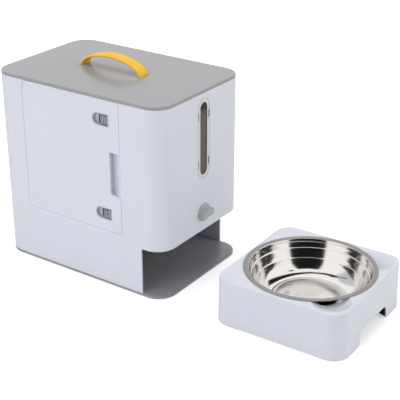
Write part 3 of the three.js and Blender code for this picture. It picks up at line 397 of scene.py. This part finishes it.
def dark_bar(name, low, high, node):
    """A small black bar between two corners, with rounded edges, put in as painted shade."""
    mesh = bpy.data.meshes.new(name)
    bm = bmesh.new()
    bmesh.ops.create_cube(bm, size=1.0)
    for vert in bm.verts:
        for k in range(3):
            vert.co[k] = low[k] if vert.co[k] < 0 else high[k]
    thinnest = min(b - a for a, b in zip(low, high))
    edge = min(0.0003, 0.3 * thinnest)
    bmesh.ops.bevel(bm, geom=bm.edges[:], offset=edge, segments=2, profile=0.5, affect="EDGES")
    bm.to_mesh(mesh)
    bm.free()
    smooth_faces(mesh)
    enter(bpy.data.objects.new(name, mesh), node, "bush_plastic")


# the dark bar at the rear edge of each thumb slide, a painted shadow of the gap behind the slide
THUMB_LENGTH = 0.0183
BAR_FACE, BAR_BACK = 0.0011, 0.0048  # depths behind the slide's outermost point
BAR_LENGTH, BAR_HALF_HEIGHT = 0.0019, 0.0074
for level in ("upper", "lower"):
    low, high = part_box("latch_slider_" + level)
    middle = (low.z + high.z) / 2
    rear = low.y + THUMB_LENGTH
    dark_bar(
        "latch_gap_shadow_" + level,
        (low.x + BAR_FACE, rear, middle - BAR_HALF_HEIGHT),
        (low.x + BAR_BACK, rear + BAR_LENGTH, middle + BAR_HALF_HEIGHT),
        "latch_slider_" + level,
    )

# dark bars in the slots of the window bezel, painted shade of the slots, thin on the left and wide on
# the right
bezel_low, bezel_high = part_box("window_bezel")
SLOT_X, SLOT_FROM_TOP, SLOT_FROM_BOTTOM = 0.0155, 0.0303, 0.0288
SLOT_SHADE_HALF_HEIGHT, SLOT_SHADE_BACK = 0.00705, 0.0014
THIN_HALF_WIDTH, THIN_PROUD = 0.0004, -0.0002
WIDE_HALF_WIDTH, WIDE_PROUD = 0.0015, 0.0001
slot_heights = (("upper", bezel_high.z - SLOT_FROM_TOP), ("lower", bezel_low.z + SLOT_FROM_BOTTOM))
for side, x, half_width, proud in (
    ("left", -SLOT_X, THIN_HALF_WIDTH, THIN_PROUD),
    ("right", SLOT_X, WIDE_HALF_WIDTH, WIDE_PROUD),
):
    for level, height in slot_heights:
        dark_bar(
            "bezel_slot_shade_%s_%s" % (level, side),
            (x - half_width, bezel_low.y - proud, height - SLOT_SHADE_HALF_HEIGHT),
            (x + half_width, bezel_low.y + SLOT_SHADE_BACK, height + SLOT_SHADE_HALF_HEIGHT),
            "window_bezel",
        )


def bezel_seam_shade(name, width, proud, sunk):
    """A thin grey line round the bezel, where it meets the cabinet front: painted shade of the seam."""
    steps = 24
    radius = bezel_high.x
    section = ((0, sunk), (0, -proud), (width, -proud), (width, sunk))
    verts = []
    for reach, y in section:
        for centre_z, start in ((bezel_high.z - radius, 0.0), (bezel_low.z + radius, math.pi)):
            for k in range(steps + 1):
                angle = start + math.pi * k / steps
                x = (radius + reach) * math.cos(angle)
                z = centre_z + (radius + reach) * math.sin(angle)
                verts.append((x, bezel_low.y + y, z))
    sides = len(section)
    count = len(verts) // sides
    faces = []
    for j in range(sides):
        a, b = j * count, ((j + 1) % sides) * count
        for k in range(count):
            faces.append((a + k, a + (k + 1) % count, b + (k + 1) % count, b + k))
    mesh = bpy.data.meshes.new(name)
    mesh.from_pydata(verts, [], faces)
    face_outwards(mesh)
    enter(bpy.data.objects.new(name, mesh), "window_bezel", "base_plastic")


# painted shade along the bezel's seam
bezel_seam_shade("bezel_seam_shade", width=0.0007, proud=0.00012, sunk=0.0004)


# the bowl, spun from sheet: flange with a rolled edge, two steps, a round wall and a ringed floor
def smooth_line(points, steps):
    """Points of a Catmull-Rom curve through the given ones."""
    line = []
    last = len(points) - 1
    for i in range(last):
        before, a, b, after = points[max(i - 1, 0)], points[i], points[i + 1], points[min(i + 2, last)]
        for k in range(steps):
            t = k / steps
            spot = []
            for p, q, r, u in zip(before, a, b, after):
                square = (2 * p - 5 * q + 4 * r - u) * t**2
                cube = (3 * q - p - 3 * r + u) * t**3
                spot.append(0.5 * (2 * q + (r - p) * t + square + cube))
            line.append(tuple(spot))
    line.append(points[last])
    return line


def bowl_inside(rim, top):
    """Radius and height in mm along the inner face, from the rolled edge to the middle."""
    floor, ring_height, ring_count = 28.3, 0.05, 12
    first_ring, ring_pitch = 60.0, 5.0
    edge = [(rim - 0.5, top - 1.3), (rim, top - 0.75), (rim - 0.35, top - 0.2), (rim - 1.5, top)]
    flange = [(rim - 4.5, top - 0.05), (rim - 7.2, top - 0.05)]
    lip = [(107.9, top - 0.15), (107.0, top - 0.9), (106.5, top - 2.0)]
    upper_band = [(105.7, 82.2), (104.3, 77.9), (102.9, 73.7)]
    upper_step = [(102.5, 72.8), (101.7, 72.1), (101.3, 71.2)]
    lower_band = [(99.6, 66.8), (97.5, 61.6), (95.3, 56.8)]
    lower_step = [(94.8, 55.9), (94.1, 55.2), (93.7, 54.3)]
    wall = [(91.8, 49.6), (88.7, 44.0), (84.1, 38.3), (78.5, 33.8), (73.0, 30.6), (68.5, 28.9)]
    foot = [(66.2, 28.75), (65.0, 28.95), (63.6, 28.6)]
    rings = [(first_ring - ring_pitch * k, floor + k % 2 * ring_height) for k in range(ring_count)]
    line = smooth_line(edge + flange, 4) + smooth_line(lip, 4)
    line += smooth_line(upper_band, 5) + smooth_line(upper_step, 4)
    line += smooth_line(lower_band, 5) + smooth_line(lower_step, 4)
    line += smooth_line(wall, 6) + smooth_line(foot, 3) + smooth_line(rings, 4)
    return line + [(0.0, floor)]


def bowl_outside(inside, sheet, widest):
    """The outer face, a sheet's thickness from the inner one, from under the flange to the middle."""
    line = []
    for behind, (radius, z), ahead in zip(inside, inside[1:], inside[2:]):
        if radius > widest:
            continue
        dr, dz = ahead[0] - behind[0], ahead[1] - behind[1]
        size = math.hypot(dr, dz)
        line.append((radius - dz / size * sheet, z + dr / size * sheet))
    return line + [(0.0, inside[-1][1] - sheet)]


def spun_bowl():
    rim = (bowl_high.x - bowl_low.x) / 2 / MM
    top = bowl_high.z / MM
    inside = bowl_inside(rim, top)
    outside = bowl_outside(inside, sheet=0.9, widest=106.0)
    under_flange = [(107.6, top - 2.4), (108.6, top - 1.1), (rim - 1.4, top - 1.1)]
    turns = 160
    verts, rows = [], []
    for radius, z in outside[::-1] + under_flange + inside:
        if radius == 0.0:
            rows.append([len(verts)] * turns)
            verts.append((bowl_centre[0], bowl_centre[1], z * MM))
            continue
        rows.append(list(range(len(verts), len(verts) + turns)))
        for k in range(turns):
            angle = 2 * math.pi * k / turns
            x, y = radius * MM * math.cos(angle), radius * MM * math.sin(angle)
            verts.append((x, bowl_centre[1] + y, z * MM))
    faces = []
    for a, b in zip(rows, rows[1:]):
        for k in range(turns):
            corners = [a[k], a[(k + 1) % turns], b[(k + 1) % turns], b[k]]
            faces.append(list(dict.fromkeys(corners)))
    mesh = bpy.data.meshes.new("bowl_form")
    mesh.from_pydata(verts, [], faces)
    smooth_faces(mesh)
    mesh.update()
    face_outwards(mesh)
    place(bpy.data.objects.new("bowl_form", mesh), "bowl")


spun_bowl()


# camera
PHOTO_WIDTH = 400
SENSOR_WIDTH = 36.0
CAMERA_AZIMUTH, CAMERA_ELEVATION, CAMERA_ROLL = -55.265, 25.081, 0.04  # degrees
CAMERA_FOCUS = 1039.77  # focal length in the photograph's pixels
CAMERA_AT = (-1.40296, -1.15470, 0.95226)  # from the floor under the cabinet's middle


def camera():
    az, el = math.radians(CAMERA_AZIMUTH), math.radians(CAMERA_ELEVATION)
    right = Vector((math.cos(az), math.sin(az), 0))
    back = Vector((math.sin(az) * math.cos(el), -math.cos(az) * math.cos(el), math.sin(el)))
    up = back.cross(right)
    turn = Matrix.Rotation(math.radians(CAMERA_ROLL), 3, back)
    right, up = turn @ right, turn @ up
    at = Vector((CAMERA_AT[0], CAMERA_AT[1] + CABINET_Y, CAMERA_AT[2]))
    data = bpy.data.cameras.new("camera")
    data.sensor_width = SENSOR_WIDTH
    data.sensor_fit = "HORIZONTAL"
    data.lens = SENSOR_WIDTH * CAMERA_FOCUS / PHOTO_WIDTH
    obj = bpy.data.objects.new("camera", data)
    obj.matrix_world = Matrix(
        (
            (right.x, up.x, back.x, at.x),
            (right.y, up.y, back.y, at.y),
            (right.z, up.z, back.z, at.z),
            (0, 0, 0, 1),
        )
    )
    bpy.context.scene.collection.objects.link(obj)
    bpy.context.scene.camera = obj


camera()


# lamps, left out of reflections
def lamp(name, at, aim, size, watts, colour=(1, 1, 1)):
    data = bpy.data.lights.new(name, "AREA")
    data.energy = watts
    data.color = colour
    data.shape = "SQUARE"
    data.size = size
    obj = bpy.data.objects.new(name, data)
    obj.location = at
    obj.rotation_euler = (Vector(aim) - Vector(at)).to_track_quat("-Z", "Y").to_euler()
    obj.visible_glossy = False
    bpy.context.scene.collection.objects.link(obj)


lamp("key", at=(-2.6, 0.7, 1.4), aim=(0, 0.1, 0.15), size=2.2, watts=30.5, colour=(1.0, 0.985, 0.985))
lamp("front", at=(1.0, -2.5, 1.2), aim=(0, 0.1, 0.15), size=1.8, watts=25, colour=(1.0, 0.975, 0.905))
lamp("top", at=(0.0, 0.2, 2.4), aim=(0, 0.1, 0.2), size=1.6, watts=18)


# black cards of the studio, seen only in reflections
BOWL_MIDDLE = Vector((bowl_centre[0], bowl_centre[1], 0.05))  # the cards hang about this point


def black_cloth():
    """Black cloth that fades out where its card's cover is less than 1."""
    mat = bpy.data.materials.new("black_card")
    mat.use_nodes = True
    nodes, links = mat.node_tree.nodes, mat.node_tree.links
    nodes.clear()
    out = nodes.new("ShaderNodeOutputMaterial")
    cloth = nodes.new("ShaderNodeBsdfDiffuse")
    cloth.inputs["Color"].default_value = (0.012, 0.012, 0.012, 1)
    clear = nodes.new("ShaderNodeBsdfTransparent")
    cover = nodes.new("ShaderNodeAttribute")
    cover.attribute_name = "cover"
    mix = nodes.new("ShaderNodeMixShader")
    links.new(cover.outputs["Fac"], mix.inputs["Fac"])
    links.new(clear.outputs[0], mix.inputs[1])
    links.new(cloth.outputs[0], mix.inputs[2])
    links.new(mix.outputs[0], out.inputs["Surface"])
    return mat


card_material = black_cloth()


def hang_card(name, rows, cover):
    """A card from rows of points about the bowl's middle, with its cover from 0 to 1 at each point."""
    across = len(rows[0])
    faces = []
    for j in range(len(rows) - 1):
        for i in range(across - 1):
            a = j * across + i
            faces.append((a, a + 1, a + across + 1, a + across))
    mesh = bpy.data.meshes.new(name)
    mesh.from_pydata([BOWL_MIDDLE + point for row in rows for point in row], [], faces)
    layer = mesh.attributes.new("cover", "FLOAT", "POINT")
    layer.data.foreach_set("value", [c for row in cover for c in row])
    mesh.materials.append(card_material)
    obj = bpy.data.objects.new(name, mesh)
    bpy.context.scene.collection.objects.link(obj)
    obj.visible_camera = False
    obj.visible_diffuse = False
    obj.visible_shadow = False
    obj.visible_transmission = False


def flag(name, azimuth, elevation, soft):
    """A card on a sphere about the bowl, with its spans in degrees and a soft border of some steps."""
    steps, distance = 24, 2.6
    rows, cover = [], []
    for j in range(steps + 1):
        tilt = math.radians(elevation[0] + (elevation[1] - elevation[0]) * j / steps)
        row, shades = [], []
        for i in range(steps + 1):
            turn = math.radians(azimuth[0] + (azimuth[1] - azimuth[0]) * i / steps)
            flat = distance * math.cos(tilt)
            row.append(Vector((flat * math.cos(turn), flat * math.sin(turn), distance * math.sin(tilt))))
            shades.append(min(1.0, min(i, steps - i, j, steps - j) / soft))
        rows.append(row)
        cover.append(shades)
    hang_card(name, rows, cover)


def boom(name, stations):
    """A strip overhead, with soft edges.

    A station gives its place to the right, its place ahead and its half width, roughly as seen from
    the camera, in shares of the strip's height over the bowl.
    """
    height, ahead_turn, steps = 1.6, math.radians(39), 8
    ahead = Vector((math.cos(ahead_turn), math.sin(ahead_turn), 0))
    right = Vector((ahead.y, -ahead.x, 0))
    line = smooth_line(stations, steps)
    rows, cover = [], []
    for k, (x, y, half_width) in enumerate(line):
        before, after = line[max(k - 1, 0)], line[min(k + 1, len(line) - 1)]
        along = Vector((after[0] - before[0], after[1] - before[1])).normalized()
        row, shades = [], []
        for side, dark in ((-1.0, 0.0), (-0.6, 1.0), (0.6, 1.0), (1.0, 0.0)):
            u = x - along.y * side * half_width
            v = y + along.x * side * half_width
            spot = (right * u + ahead * v) * height
            row.append(Vector((spot.x, spot.y, height)))
            shades.append(dark)
        rows.append(row)
        cover.append(shades)
    hang_card(name, rows, cover)


flag("flag_camera_side", azimuth=(179, 252), elevation=(-10, 65), soft=1)
flag("flag_left_high", azimuth=(270, 288), elevation=(56, 66), soft=4)
flag("flag_right_high", azimuth=(99, 116), elevation=(58, 68), soft=4)
boom(
    "boom_right",
    [(-0.1, -0.07, 0.07), (0.3, 0.04, 0.13), (0.6, 0.26, 0.2), (0.97, 0.6, 0.27), (1.4, 1.0, 0.3)],
)
boom("boom_left", [(0.1, -0.07, 0.07), (-0.3, 0.01, 0.08), (-0.6, 0.2, 0.09), (-1.0, 0.6, 0.1)])


def studio_world():
    """Soft light on the object, and plain white for what looks past it, reflects or refracts."""
    world = bpy.data.worlds.new("studio")
    bpy.context.scene.world = world
    world.use_nodes = True
    nodes, links = world.node_tree.nodes, world.node_tree.links
    nodes.clear()
    out = nodes.new("ShaderNodeOutputWorld")
    light = nodes.new("ShaderNodeBackground")
    light.inputs["Color"].default_value = (0.93, 0.95, 1.0, 1)
    light.inputs["Strength"].default_value = 0.42
    seen = nodes.new("ShaderNodeBackground")
    seen.inputs["Color"].default_value = (1, 1, 1, 1)
    seen.inputs["Strength"].default_value = 1.0
    path = nodes.new("ShaderNodeLightPath")
    either = nodes.new("ShaderNodeMath")
    either.operation = "MAXIMUM"
    links.new(path.outputs["Is Camera Ray"], either.inputs[0])
    links.new(path.outputs["Is Glossy Ray"], either.inputs[1])
    any_ray = nodes.new("ShaderNodeMath")
    any_ray.operation = "MAXIMUM"
    links.new(either.outputs[0], any_ray.inputs[0])
    links.new(path.outputs["Is Transmission Ray"], any_ray.inputs[1])
    mix = nodes.new("ShaderNodeMixShader")
    links.new(any_ray.outputs[0], mix.inputs["Fac"])
    links.new(light.outputs[0], mix.inputs[1])
    links.new(seen.outputs[0], mix.inputs[2])
    links.new(mix.outputs[0], out.inputs["Surface"])


studio_world()


def floor():
    """A pale floor that keeps the object's shadow and glows to white away from it."""
    half = 6.0
    near, near_glow = 0.9, 0.48  # distance from the origin, and strength of the glow there
    far, far_glow = 2.2, 1.0
    mesh = bpy.data.meshes.new("floor")
    corners = [(-half, -half, 0), (half, -half, 0), (half, half, 0), (-half, half, 0)]
    mesh.from_pydata(corners, [], [(0, 1, 2, 3)])
    obj = bpy.data.objects.new("floor", mesh)
    bpy.context.scene.collection.objects.link(obj)
    mat = bpy.data.materials.new("floor")
    mat.use_nodes = True
    nodes, links = mat.node_tree.nodes, mat.node_tree.links
    nodes.clear()
    out = nodes.new("ShaderNodeOutputMaterial")
    diffuse = nodes.new("ShaderNodeBsdfDiffuse")
    diffuse.inputs["Color"].default_value = (0.9, 0.9, 0.9, 1)
    glow = nodes.new("ShaderNodeEmission")
    glow.inputs["Color"].default_value = (1, 1, 1, 1)
    coord = nodes.new("ShaderNodeTexCoord")
    reach = nodes.new("ShaderNodeVectorMath")
    reach.operation = "LENGTH"
    links.new(coord.outputs["Object"], reach.inputs[0])
    fade = nodes.new("ShaderNodeMapRange")
    fade.inputs["From Min"].default_value = near
    fade.inputs["From Max"].default_value = far
    fade.inputs["To Min"].default_value = near_glow
    fade.inputs["To Max"].default_value = far_glow
    links.new(reach.outputs["Value"], fade.inputs["Value"])
    ray = nodes.new("ShaderNodeLightPath")
    power = nodes.new("ShaderNodeMath")
    power.operation = "MULTIPLY"
    links.new(ray.outputs["Is Camera Ray"], power.inputs[0])
    links.new(fade.outputs["Result"], power.inputs[1])
    links.new(power.outputs[0], glow.inputs["Strength"])
    both = nodes.new("ShaderNodeAddShader")
    links.new(diffuse.outputs[0], both.inputs[0])
    links.new(glow.outputs[0], both.inputs[1])
    links.new(both.outputs[0], out.inputs["Surface"])
    mesh.materials.append(mat)


floor()
bpy.context.scene.view_settings.view_transform = "Standard"
